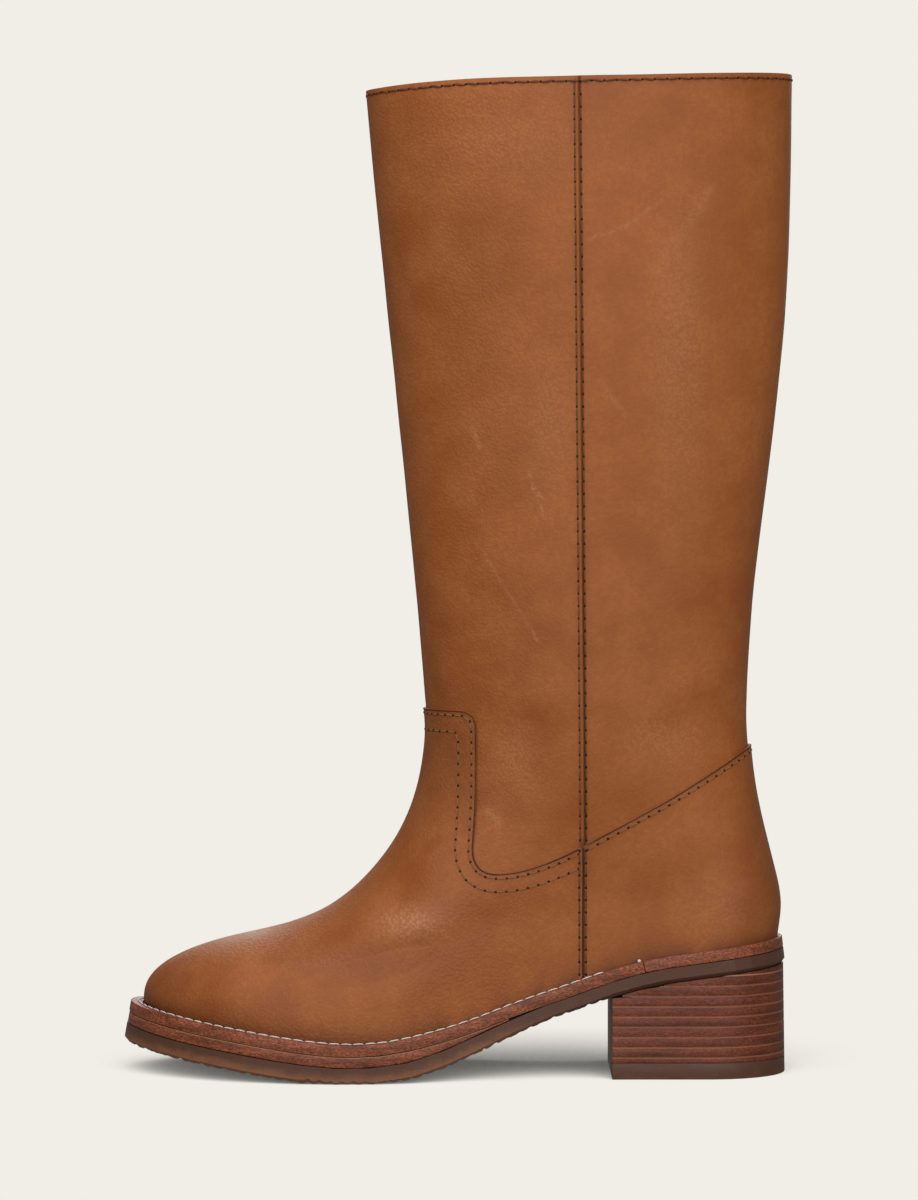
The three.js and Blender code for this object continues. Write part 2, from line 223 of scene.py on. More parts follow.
def useGroup(tree, group, **values):
    node = put(tree, "Group", node_tree=group)
    for key, value in values.items():
        node.inputs[key].default_value = value
    return node


def objectPoint(tree, scale=(1, 1, 1)):
    place = put(tree, "TexCoord")
    mapping = put(tree, "Mapping")
    mapping.inputs["Scale"].default_value = scale
    wire(tree, place.outputs["Object"], mapping.inputs["Vector"])
    return mapping.outputs["Vector"]


def noiseOn(tree, point, scale, detail=3.0, rough=0.55, distortion=0.0):
    node = put(tree, "TexNoise")
    setIn(node, Scale=scale, Detail=detail, Roughness=rough, Distortion=distortion)
    wire(tree, point, node.inputs["Vector"])
    return node.outputs["Fac"]


def roughen(tree, shader, height, strength, distance):
    lumps = put(tree, "Bump")
    setIn(lumps, Strength=strength, Distance=distance)
    wire(tree, height, lumps.inputs["Height"])
    wire(tree, lumps.outputs["Normal"], shader.inputs["Normal"])


# camera, floor and light
camera = {"distance": 2.0, "height": 0.255, "x": 0.0008, "seenWidth": 0.3672, "drop": 0.067}
stage = {
    "floorColor": (0.877, 0.855, 0.799),
    "shadowColor": (0.045, 0.044, 0.042),
    "shadowReach": 0.15,
    "shadowFrom": 0.12,
    "shadowTo": 0.86,
    "shadowLean": (0, -0.75, 0.66),  # the light is taken to come from the front
    "bounce": 0.3,
    "dimness": 0.18,
}
roomColor = (0.9, 0.95, 1.0)
lightsAimAt = Vector((0, 0, 0.18))
lights = {
    "over": {"at": (-0.2, -0.9, 2.1), "size": 1.5, "power": 30},
    "front": {"at": (-0.5, -2.5, 1.0), "size": 1.7, "power": 31},
    "side": {"at": (1.3, -2.2, 0.7), "size": 1.3, "power": 20},
    "back": {"at": (0.3, 2.2, 1.3), "size": 2.0, "power": 33},
}


def addCamera():
    # level, with the lens dropped a little so that the boot's sides stay upright
    eye = (camera["x"], -camera["distance"], camera["height"])
    bpy.ops.object.camera_add(location=eye, rotation=(math.pi / 2, 0, 0))
    cam = bpy.context.object
    cam.data.shift_y = -camera["drop"] / camera["seenWidth"]
    cam.data.sensor_fit = "HORIZONTAL"
    cam.data.lens = cam.data.sensor_width * camera["distance"] / camera["seenWidth"]
    cam.data.clip_end = 30
    bpy.context.scene.camera = cam
    bpy.context.scene.view_settings.view_transform = "Standard"


def addLights():
    for name, light in lights.items():
        turn = (lightsAimAt - Vector(light["at"])).to_track_quat("-Z", "Y").to_euler()
        bpy.ops.object.light_add(type="AREA", location=light["at"], rotation=turn)
        lamp = bpy.context.object
        lamp.name = name
        lamp.data.size = light["size"]
        lamp.data.energy = light["power"]
    world = bpy.context.scene.world or bpy.data.worlds.new("studio")
    bpy.context.scene.world = world
    world.use_nodes = True
    tree = world.node_tree
    sky = tree.nodes["Background"]
    setIn(sky, Color=(*stage["floorColor"], 1))
    room = put(tree, "Background")
    setIn(room, Color=(*roomColor, 1), Strength=stage["dimness"])
    splitByCamera(tree, room.outputs[0], sky.outputs[0], tree.nodes["World Output"])


def splitByCamera(tree, others, seen, output):
    # what the camera sees stays plain and bright while the room round the boot stays dim
    mix = put(tree, "MixShader")
    wire(tree, put(tree, "LightPath").outputs["Is Camera Ray"], mix.inputs[0])
    wire(tree, others, mix.inputs[1])
    wire(tree, seen, mix.inputs[2])
    wire(tree, mix.outputs[0], output.inputs["Surface"])


def addFloor():
    bpy.ops.mesh.primitive_plane_add(size=40, location=(0, 0, 0))
    floor = bpy.context.object
    floor.name = "floor"
    mat = bpy.data.materials.new("paleFloor")
    mat.use_nodes = True
    tree = mat.node_tree
    tree.nodes.clear()
    near = put(tree, "AmbientOcclusion", samples=16)
    setIn(near, Distance=stage["shadowReach"])
    lean = put(tree, "CombineXYZ")
    for socket, value in zip(lean.inputs, stage["shadowLean"]):
        socket.default_value = value
    wire(tree, lean.outputs[0], near.inputs["Normal"])
    lit = ramp(tree, near.outputs["AO"], stage["shadowFrom"], stage["shadowTo"])
    glow = put(tree, "Emission")
    wire(tree, mixColor(tree, lit, stage["shadowColor"], stage["floorColor"]), glow.inputs["Color"])
    bounce = put(tree, "Emission")
    setIn(bounce, Color=(*stage["floorColor"], 1), Strength=stage["bounce"])
    splitByCamera(tree, bounce.outputs[0], glow.outputs[0], put(tree, "OutputMaterial"))
    floor.data.materials.append(mat)


addCamera()
addLights()
addFloor()
print("camera, light and floor set")


# patterns of the leathers
def hideGrain():
    # pebbled cells with fine wrinkles between them, in height and as a colour mask
    group, given, out = newGroup(
        "hideGrain",
        [("Cell", "Float", 900.0), ("Wrinkle", "Float", 0.5)],
        [("Height", "Float"), ("Mask", "Float")],
    )
    point = objectPoint(group)
    bent = put(group, "TexNoise")
    setIn(bent, Scale=160.0, Detail=2.0)
    wire(group, point, bent.inputs["Vector"])
    shift = put(group, "VectorMath", operation="SCALE")
    setIn(shift, Scale=1.6 * mm)
    wire(group, bent.outputs["Color"], shift.inputs[0])
    moved = vectorNode(group, "ADD", point, shift.outputs[0])
    cells = put(group, "TexVoronoi", feature="SMOOTH_F1")
    setIn(cells, Smoothness=0.35, Randomness=1.0)
    wire(group, moved, cells.inputs["Vector"])
    wire(group, given.outputs["Cell"], cells.inputs["Scale"])
    pores = noiseOn(group, point, 2600.0, 2.0)
    wrinkle = noiseOn(group, point, 330.0, 4.0, 0.6, 1.2)
    domes = ramp(group, cells.outputs["Distance"], 0.15, 0.75, 1.0, 0.0)
    folds = mathNode(group, "MULTIPLY", wrinkle, given.outputs["Wrinkle"])
    height = mathNode(group, "ADD", mathNode(group, "MULTIPLY", domes, 0.7), folds)
    fine = mathNode(group, "MULTIPLY", pores, 0.18)
    wire(group, mathNode(group, "ADD", height, fine), out.inputs["Height"])
    wire(group, domes, out.inputs["Mask"])
    return group


def hideClouds():
    # slow drifts of colour in an oiled hide: broad patches, mottling and small flecks
    group, given, out = newGroup(
        "hideClouds",
        [("Broad", "Float", 9.0), ("Mottle", "Float", 60.0)],
        [("Patch", "Float"), ("Mottling", "Float"), ("Fleck", "Float")],
    )
    point = objectPoint(group)
    layers = (("Patch", "Broad", 2.0), ("Mottling", "Mottle", 4.0), ("Fleck", None, 3.0))
    for target, scale, detail in layers:
        tex = put(group, "TexNoise")
        setIn(tex, Scale=420.0, Detail=detail, Roughness=0.55)
        wire(group, point, tex.inputs["Vector"])
        if scale:
            wire(group, given.outputs[scale], tex.inputs["Scale"])
        wire(group, ramp(group, tex.outputs["Fac"], 0.3, 0.7), out.inputs[target])
    return group


def scuffStroke():
    # a soft stroke from one point to another, broken up along its length
    group, given, out = newGroup(
        "scuffStroke",
        [("From", "Vector", (0, 0, 0)), ("To", "Vector", (0, 0, 0.01)), ("Width", "Float", 0.001)],
        [("Mask", "Float")],
    )
    point = objectPoint(group)
    along = vectorNode(group, "SUBTRACT", given.outputs["To"], given.outputs["From"])
    offset = vectorNode(group, "SUBTRACT", point, given.outputs["From"])
    reached = vectorNode(group, "DOT_PRODUCT", offset, along)
    whole = vectorNode(group, "DOT_PRODUCT", along, along)
    nearest = vectorNode(group, "SCALE", along, mathNode(group, "DIVIDE", reached, whole, clamp=True))
    away = vectorNode(group, "DISTANCE", offset, nearest)
    ratio = mathNode(group, "DIVIDE", away, given.outputs["Width"])
    soft = ramp(group, ratio, 0.0, 1.0, 1.0, 0.0)
    broken = ramp(group, noiseOn(group, point, 700.0, 3.0, 0.7), 0.35, 0.65)
    wire(group, mathNode(group, "MULTIPLY", soft, broken), out.inputs["Mask"])
    return group


def fibreEdge():
    # cut sole leather seen edge on: flecks and short fibres lying along the layer
    outputs = [("Fibre", "Float"), ("Blotch", "Float"), ("Height", "Float")]
    group, _, out = newGroup("fibreEdge", [], outputs)
    point = objectPoint(group, (1, 1, 3.2))
    fibre = noiseOn(group, point, 900.0, 5.0, 0.75, 0.6)
    blotch = noiseOn(group, objectPoint(group, (1, 1, 9)), 42.0, 4.0, 0.65)
    wire(group, ramp(group, fibre, 0.38, 0.66), out.inputs["Fibre"])
    wire(group, ramp(group, blotch, 0.35, 0.7), out.inputs["Blotch"])
    wire(group, fibre, out.inputs["Height"])
    return group


grainGroup = hideGrain()
cloudGroup = hideClouds()
scuffGroup = scuffStroke()
fibreGroup = fibreEdge()


# leathers, thread and rubber
upperLeather = {
    "tan": (0.303, 0.088, 0.017),
    "deep": (0.232, 0.059, 0.0095),
    "pale": (0.385, 0.134, 0.038),
    # edge: the dark of the painted shade and of the cut edges' dye
    "edge": (0.075, 0.022, 0.008),
    "paleSheenAndWear": (0.5, 0.235, 0.11),
    "scuffed": (0.6, 0.33, 0.17),
    "roughness": 0.56,
    "grainDepth": 0.16 * mm,
}
scuffs = [  # from, to (x, z in mm on the outer side), half width, strength
    ((11, 207), (32, 173), 1.5, 0.22),
    ((28, 240), (34, 223), 1.1, 0.18),
    ((6, 257), (9, 249), 1.6, 0.24),
    ((30, 233), (33, 229), 2.0, 0.2),
    ((56, 275), (66, 262), 2.2, 0.15),
    ((52, 331), (66, 336), 1.8, 0.16),
    ((66, 336), (80, 346), 1.6, 0.1),
    ((62, 96), (70, 94), 0.8, 0.4),
    ((12, 106), (17, 101), 2.6, 0.16),
    ((-36, 65), (-28, 61), 1.6, 0.18),
    ((84, 60), (90, 63), 0.6, 0.3),
    ((78, 318), (100, 352), 3.5, 0.1),
]


def makeUpperLeather():
    mat, tree, shader = newMaterial("tanPullUpLeather", upperLeather["roughness"], Specular_IOR_Level=0.26)
    clouds = useGroup(tree, cloudGroup, Broad=8.5, Mottle=55.0)
    grain = useGroup(tree, grainGroup, Cell=820.0, Wrinkle=0.55)
    color = mixColor(tree, clouds.outputs["Patch"], upperLeather["deep"], upperLeather["tan"])
    lift = mathNode(tree, "MULTIPLY", clouds.outputs["Mottling"], 0.5)
    color = mixColor(tree, lift, color, upperLeather["pale"])
    fleck = mathNode(tree, "MULTIPLY", clouds.outputs["Fleck"], 0.34)
    color = mixColor(tree, fleck, color, upperLeather["deep"])
    valley = mathNode(tree, "MULTIPLY", mathNode(tree, "SUBTRACT", 1.0, grain.outputs["Mask"]), 0.24)
    color = mixColor(tree, valley, color, upperLeather["deep"])
    for start, end, width, strength in scuffs:
        stroke = useGroup(tree, scuffGroup, Width=width * mm)
        y0, y1 = outerSideY(*start), outerSideY(*end)
        stroke.inputs["From"].default_value = (start[0] * mm, y0, start[1] * mm)
        stroke.inputs["To"].default_value = (end[0] * mm, y1, end[1] * mm)
        mark = mathNode(tree, "MULTIPLY", stroke.outputs["Mask"], strength)
        color = mixColor(tree, mark, color, upperLeather["scuffed"])
    # painted highlights lighten the leather, most on the grain's tips, where they also stand for wear
    sheenAndWear = put(tree, "Attribute", attribute_name="sheenAndWear")
    tips = mathNode(tree, "ADD", grain.outputs["Mask"], 0.4)
    paleSheenAndWear = mathNode(tree, "MULTIPLY", sheenAndWear.outputs["Fac"], tips)
    color = mixColor(tree, paleSheenAndWear, color, upperLeather["paleSheenAndWear"])
    # painted shade, with the dye of the cut edges, darkens the leather where this attribute is high
    shadeAndDyeMask = put(tree, "Attribute", attribute_name="paintedShadeAndDye")
    color = mixColor(tree, shadeAndDyeMask.outputs["Fac"], color, upperLeather["edge"])
    wire(tree, color, shader.inputs["Base Color"])
    shine = mathNode(tree, "MULTIPLY", clouds.outputs["Mottling"], 0.12)
    polish = mathNode(tree, "MULTIPLY", sheenAndWear.outputs["Fac"], 0.42)
    dull = mathNode(tree, "ADD", shine, upperLeather["roughness"] - 0.04)
    wire(tree, mathNode(tree, "SUBTRACT", dull, polish), shader.inputs["Roughness"])
    split = put(tree, "SeparateXYZ")
    wire(tree, objectPoint(tree), split.inputs[0])
    front = ramp(tree, split.outputs["X"], 0.0, 0.055, 1.0, 0.45)
    height = mathNode(tree, "MULTIPLY", grain.outputs["Height"], front)
    roughen(tree, shader, height, 0.8, upperLeather["grainDepth"])
    return mat


def makePlainLeather(name, dark, light, roughness, cell):
    mat, tree, shader = newMaterial(name, roughness, Specular_IOR_Level=0.2)
    clouds = useGroup(tree, cloudGroup, Broad=18.0, Mottle=90.0)
    grain = useGroup(tree, grainGroup, Cell=cell, Wrinkle=0.4)
    color = mixColor(tree, clouds.outputs["Mottling"], dark, light)
    fleck = mathNode(tree, "MULTIPLY", clouds.outputs["Fleck"], 0.2)
    wire(tree, mixColor(tree, fleck, color, dark), shader.inputs["Base Color"])
    dull = mathNode(tree, "MULTIPLY", clouds.outputs["Patch"], 0.1)
    wire(tree, mathNode(tree, "ADD", dull, roughness - 0.05), shader.inputs["Roughness"])
    roughen(tree, shader, grain.outputs["Height"], 0.4, 0.1 * mm)
    return mat


def makeEdgeLeather(name, dark, light, joints=None):
    mat, tree, shader = newMaterial(name, 0.5, Specular_IOR_Level=0.28)
    fibres = useGroup(tree, fibreGroup)
    color = mixColor(tree, fibres.outputs["Fibre"], dark, light)
    shade = mathNode(tree, "MULTIPLY", fibres.outputs["Blotch"], 0.6)
    color = mixColor(tree, shade, color, tuple(c * 0.55 for c in dark))
    if joints:
        split = put(tree, "SeparateXYZ")
        wire(tree, objectPoint(tree), split.inputs[0])
        above = mathNode(tree, "SUBTRACT", split.outputs["Z"], joints["first"])
        turn = mathNode(tree, "DIVIDE", above, joints["pitch"])
        part = mathNode(tree, "FRACT", mathNode(tree, "ADD", turn, 0.5))
        near = mathNode(tree, "ABSOLUTE", mathNode(tree, "SUBTRACT", part, 0.5))
        wavy = mathNode(tree, "ADD", near, mathNode(tree, "MULTIPLY", fibres.outputs["Height"], 0.05))
        line = ramp(tree, wavy, 0.045, 0.11, 0.75, 0.0)
        color = mixColor(tree, line, color, joints["color"])
    wire(tree, color, shader.inputs["Base Color"])
    wire(tree, ramp(tree, fibres.outputs["Fibre"], 0.0, 1.0, 0.42, 0.6), shader.inputs["Roughness"])
    roughen(tree, shader, fibres.outputs["Height"], 0.5, 0.18 * mm)
    return mat


def makeRubber(name, dark, light):
    mat, tree, shader = newMaterial(name, 0.5, Specular_IOR_Level=0.28)
    point = objectPoint(tree)
    # dark at the top of the rubber is painted shadow under the layer above, paler towards the lower edge
    low = put(tree, "Attribute", attribute_name="low")
    streak = noiseOn(tree, objectPoint(tree, (1, 1, 2.5)), 120.0, 4.0, 0.6)
    grit = noiseOn(tree, point, 1500.0, 3.0)
    cloud = mathNode(tree, "MULTIPLY", mathNode(tree, "SUBTRACT", streak, 0.5), 0.7)
    depth = ramp(tree, mathNode(tree, "ADD", low.outputs["Fac"], cloud), 0.2, 0.9)
    dust = mathNode(tree, "MULTIPLY", ramp(tree, grit, 0.55, 0.75), 0.12)
    color = mixColor(tree, dust, mixColor(tree, depth, dark, light), tuple(c * 1.6 for c in light))
    wire(tree, color, shader.inputs["Base Color"])
    wire(tree, ramp(tree, streak, 0.2, 0.8, 0.42, 0.62), shader.inputs["Roughness"])
    roughen(tree, shader, mathNode(tree, "ADD", grit, streak), 0.35, 0.3 * mm)
    return mat


def makeThread(name, color):
    mat, tree, shader = newMaterial(name, 0.7, Specular_IOR_Level=0.16)
    twist = put(tree, "TexWave", wave_type="BANDS", bands_direction="DIAGONAL")
    setIn(twist, Scale=900.0, Distortion=1.5)
    wire(tree, objectPoint(tree), twist.inputs["Vector"])
    # the darker bands are painted shade between the twisted strands
    shade = mixColor(tree, twist.outputs["Fac"], tuple(c * 0.62 for c in color), color)
    wire(tree, shade, shader.inputs["Base Color"])
    roughen(tree, shader, twist.outputs["Fac"], 0.5, 0.12 * mm)
    return mat


# upper: one leather skin from welt to collar, with its lining
seam = {  # side seam of the leg, mm; cuts are where the skin is divided beside it
    "topX": 47.2, "topZ": 395.0, "lowX": 49.9, "lowZ": 92.0, "rows": 1.25, "valley": 0.7, "pitch": 4.9,
    "rowTopZ": 392.5, "rowLowZ": 92.6, "cuts": [0.2, 0.45, 0.8, 1.2, 1.7, 2.3, 3.2],
}
legAxis = {"x": 0.047, "y": 0.0014, "collarZone": 0.33}  # metres
creases = [  # middle (x, z in mm), direction in degrees, length, width, depth in mm
    ((-6, 121), 20, 16, 5, 0.5),
    ((2, 104), 32, 20, 6, 0.6),
    ((-2, 172), 8, 24, 9, 0.35),
    ((30, 138), -12, 26, 9, 0.4),
    ((84, 134), 24, 26, 9, 0.45),
    ((74, 168), 10, 34, 12, 0.35),
    ((104, 150), 14, 16, 7, 0.5),
    ((20, 300), -62, 60, 16, 0.5),
    ((96, 260), 70, 70, 16, 0.5),
]
vampFolds = [
    ((-30, 46.5), 16, 26, 8, 2.0),
    ((-22, 60), 16, 20, 7, -0.8),
    ((-14, 68), 40, 18, 7, 0.7),
    ((-58, 52), 26, 20, 8, 0.5),
    ((10, 62), 6, 26, 9, 0.55),
    ((90, 78), 30, 24, 9, 0.5),
]


def seamXAt(z):
    share = (z - seam["lowZ"]) / (seam["topZ"] - seam["lowZ"])
    return seam["lowX"] + share * (seam["topX"] - seam["lowX"])


def hollows(x, z, marks):
    # depth in mm of the soft troughs at a point of the side view; each has a low ridge beside it
    total = 0.0
    for (cx, cz), degrees, length, width, depth in marks:
        c, s = math.cos(math.radians(degrees)), math.sin(math.radians(degrees))
        u, v = (x - cx) * c + (z - cz) * s, (z - cz) * c - (x - cx) * s
        total += depth * bump(u / length) * (bump(v / width) - 0.6 * bump((v - 1.5 * width) / width))
    return total


def isOutside(tree, co, normal):
    # near the collar a ray from the inner wall could leave through the opening
    if co.z > legAxis["collarZone"] and normal.z < 0.7:
        return (co.x - legAxis["x"]) * normal.x + (co.y - legAxis["y"]) * normal.y > 0
    return tree.ray_cast(co + normal * 0.0004, normal, 0.5)[0] is None


def makeUpper():
    piece = copyOfNode("upper", "upperLeather")
    editAll()
    bpy.ops.mesh.tris_convert_to_quads(face_threshold=math.radians(60), shape_threshold=math.radians(70))
    bpy.ops.mesh.select_mode(type="EDGE")
    bpy.ops.mesh.select_all(action="DESELECT")
    bpy.ops.mesh.edges_select_sharp(sharpness=math.radians(55))
    bpy.ops.transform.edge_crease(value=1.0)
    leaveEdit()
    applyModifier(piece, "SUBSURF", levels=2, render_levels=2)
    tilt = math.atan2(seam["lowX"] - seam["topX"], seam["topZ"] - seam["lowZ"])
    way = (math.cos(tilt), 0, math.sin(tilt))
    for offset in sorted([-cut for cut in seam["cuts"]] + [0] + seam["cuts"]):
        divide(((seam["lowX"] + offset) * mm, 0, seam["lowZ"] * mm), way)
    roundCorners(piece, 0.55, 3, 55)
    return piece


upperSkin = makeUpper()
upperTree = treeOf(upperSkin)
liningFaces = [f.index for f in upperSkin.data.polygons if not isOutside(upperTree, f.center, f.normal)]
print("upper skin:", len(upperSkin.data.polygons), "faces")


def outerSideY(x, z):
    hit = upperTree.ray_cast(Vector((x * mm, -0.2, z * mm)), Vector((0, 1, 0)), 0.4)[0]
    return hit.y if hit else -0.03


weltStep = 6 * mm


def heightsAlong(*nodes):
    # highest point of these nodes for each step of the boot's length
    best = {}
    for name in nodes:
        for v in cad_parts[name].data.vertices:
            cell = round(v.co.x / weltStep)
            best[cell] = max(best.get(cell, -1), v.co.z)
    return best


weltTops = heightsAlong("welt", "heel_rand")


def weltTopAt(x):
    cell = x / weltStep
    low = math.floor(cell)
    a = weltTops.get(low) or weltTops.get(low - 1) or weltTops.get(low + 1) or 0.03
    b = weltTops.get(low + 1) or weltTops.get(low + 2) or a
    return a + (b - a) * (cell - low)


def bend(start, pull, end, count=8):
    # points of a bend from start to end, drawn towards pull; the start itself is left out
    out = []
    for i in range(1, count + 1):
        t = i / count
        shares = (1 - t) ** 2, 2 * t * (1 - t), t * t
        out.append(tuple(sum(w * p for w, p in zip(shares, place)) for place in zip(start, pull, end)))
    return out


# vamp and counter: skins that lap over the leg
vampCut = {  # side view, mm; beyondX lies in front of the leather
    "tabTop": 144.9, "tabX": 7.6, "tabCorner": 7.0, "waistX": 6.3, "waistZ": 91.0,
    "lowX": 16.1, "lowZ": 81.0, "seamX": 49.4, "seamZ": 91.6, "beyondX": -40.0,
}
counterCut = {  # side view, mm; the beyond point lies behind the leather
    "seamX": 49.8, "seamZ": 91.8, "midX": 84.6, "midZ": 110.8, "backX": 116.6, "backZ": 129.8,
    "beyondX": 160.0, "beyondZ": 152.0,
}
overlay = {"below": 160, "gap": 0.2, "thick": 1.1, "corner": 0.32, "far": 200.0, "under": -50.0}  # mm


def vampEdge():
    # from the front of the tab, round its corner, down and along to the side seam
    c = vampCut
    high = c["waistZ"] + 0.3 * (c["tabTop"] - c["waistZ"])
    line = [(c["beyondX"], c["tabTop"]), (c["tabX"] - c["tabCorner"], c["tabTop"])]
    line += bend(line[-1], (c["tabX"], c["tabTop"]), (c["tabX"], c["tabTop"] - c["tabCorner"]))
    line.append((c["tabX"], c["waistZ"] + 0.5 * (c["tabTop"] - c["waistZ"])))
    line += bend(line[-1], (c["tabX"], high), (c["waistX"], c["waistZ"]))
    line += bend(line[-1], (c["waistX"], c["lowZ"]), (c["lowX"], c["lowZ"]))
    pull = (c["lowX"] + 0.4 * (c["seamX"] - c["lowX"]), c["lowZ"])
    line += bend(line[-1], pull, (c["seamX"], c["seamZ"]))
    return line


def counterEdge():
    return [(counterCut[place + "X"], counterCut[place + "Z"]) for place in ("seam", "mid", "back", "beyond")]


def inset(line, distance):
    # the same line moved to its right-hand side as it is walked
    moved = []
    for i, (x, z) in enumerate(line):
        x0, z0 = line[max(i - 1, 0)]
        x1, z1 = line[min(i + 1, len(line) - 1)]
        size = math.hypot(x1 - x0, z1 - z0)
        moved.append((x + (z1 - z0) / size * distance, z - (x1 - x0) / size * distance))
    return moved


def distanceTo(line, x, z):
    best = 1e9
    for (x0, z0), (x1, z1) in zip(line, line[1:]):
        dx, dz = x1 - x0, z1 - z0
        t = min(1, max(0, ((x - x0) * dx + (z - z0) * dz) / (dx * dx + dz * dz)))
        best = min(best, math.hypot(x - x0 - t * dx, z - z0 - t * dz))
    return best


def cutter(outline):
    mesh = bpy.data.meshes.new("cutter")
    mesh.from_pydata([(x * mm, -0.1, z * mm) for x, z in outline], [], [list(range(len(outline)))])
    piece = bpy.data.objects.new("cutter", mesh)
    bpy.context.scene.collection.objects.link(piece)
    onlySelect(piece)
    editAll()
    bpy.ops.mesh.extrude_region_move(TRANSFORM_OT_translate={"value": (0, 0.2, 0)})
    bpy.ops.mesh.select_all(action="SELECT")
    bpy.ops.mesh.normals_make_consistent(inside=False)
    leaveEdit()
    return piece


def makeOverlay(name, outline):
    piece = copyOf(upperSkin, name)
    top = overlay["below"] * mm
    selectFaces(piece, lambda f: f.center.z > top or not isOutside(upperTree, f.center, f.normal))
    bpy.ops.mesh.delete(type="FACE")
    bpy.ops.mesh.select_all(action="SELECT")
    bpy.ops.transform.shrink_fatten(value=overlay["gap"] * mm)
    leaveEdit()
    applyModifier(piece, "SOLIDIFY", thickness=overlay["thick"] * mm, offset=1.0)
    prism = cutter(outline)
    applyModifier(piece, "BOOLEAN", operation="INTERSECT", solver="EXACT", object=prism)
    bpy.data.objects.remove(prism)
    roundCorners(piece, overlay["corner"], 2, 55)
    return piece


def makeVamp():
    edge, far, under = vampEdge(), overlay["far"], overlay["under"]
    outline = [(-far, under), (edge[-1][0], under)] + edge[::-1] + [(-far, vampCut["tabTop"])]
    return makeOverlay("vampLeather", outline)


def makeCounter():
    edge, far, under = counterEdge(), overlay["far"], overlay["under"]
    outline = [(edge[0][0], under)] + edge + [(far, counterCut["beyondZ"]), (far, under)]
    return makeOverlay("counterLeather", outline)


vampSkin = makeVamp()
counterSkin = makeCounter()
print("vamp and counter cut:", len(vampSkin.data.polygons), len(counterSkin.data.polygons), "faces")


collar = {  # mm; the row's heights at the front and back ridges
    "frontX": -36.6, "frontZ": 391.0, "backX": 133.3, "backZ": 397.6, "arch": 1.1, "archX": 4,
    "rowDrop": 1.8, "rowFrontZ": 388.8, "rowBackZ": 395.2,
}


def topZAt(x):
    # height of the collar's edge at a place along the boot
    share = (x / mm - collar["frontX"]) / (collar["backX"] - collar["frontX"])
    arch = collar["arch"] * bump((x / mm - collar["archX"]) / 40)
    return (collar["frontZ"] + share * (collar["backZ"] - collar["frontZ"]) + arch) * mm


paintedShades = [  # darker places of painted shade, where the leather turns away or lies in a trough or a gap: middle (x, z in mm), width, height, strength
    ((-4, 122), 14, 22, 0.3),
    ((124, 84), 16, 36, 0.3),
    ((-28, 47), 24, 6, 0.22),
    ((49.6, 92.4), 1.8, 2.6, 0.8),
    ((120, 130), 4, 1.8, 0.7),
    ((-112, 34), 10, 9, 0.2),
    ((0, 290), 26, 60, 0.1),
]


highlightsAndRubs = [  # paler places, the same way: painted highlights, with wear on the grain's tips
    ((-84, 53), 20, 8, 0.16),
    ((-18, 62), 15, 6, 0.34),
    ((-58, 48), 24, 5, 0.1),
    ((23, 125), 9, 15, 0.14),
    ((77, 136), 13, 9, 0.14),
    ((87, 285), 9, 48, 0.13),
    ((36, 262), 8, 30, 0.1),
    ((104, 66), 14, 10, 0.1),
    ((12, 370), 40, 16, 0.08),
]


def strongest(places, x, z):
    return max(
        amount * bump((x - cx) / wide) * bump((z - cz) / high)
        for (cx, cz), wide, high, amount in places
    )


seamRelief = [  # place beside the seam's valley, width and height in mm
    (-1.0, 0.8, 0.34),
    (1.1, 0.8, 0.2),
    (0.0, 0.38, -0.8),
]
skin = {  # how far the leather drifts from its plain form, in mm, and how dark it is painted at its borders: shade by the welt and the seam, dye and shade at the cut edges, a dark line at the collar rim
    "drift": 0.3, "fineDrift": 0.12, "fullness": 0.25, "backFullness": 0.5, "instepDip": 1.2, "rowDip": 0.14,
    "weltDark": 0.62, "weltFade": 4.5, "cutDark": 0.2, "cutFade": 2.4, "rimDark": 0.22, "rimFade": 0.6,
    "seamDark": 0.2, "seamFade": 2.6,
}


def surfaceShift(x, z, normal, onLeg):
    # how far, in mm, the leather stands out or in from its plain form
    facing = min(1, max(0, (abs(normal.y) - 0.12) / 0.36))  # fades out towards the front and back ridges
    shift = -facing * hollows(x, z, creases if onLeg else vampFolds)
    if onLeg and abs(normal.y) > 0.6:
        aside = x - seamXAt(z)
        lean = aside - seam["valley"]
        shift += sum(height * bump((lean - place) / width) for place, width, height in seamRelief)
        shift -= skin["rowDip"] * bump((abs(aside) - seam["rows"]) / 0.3)
    return shift


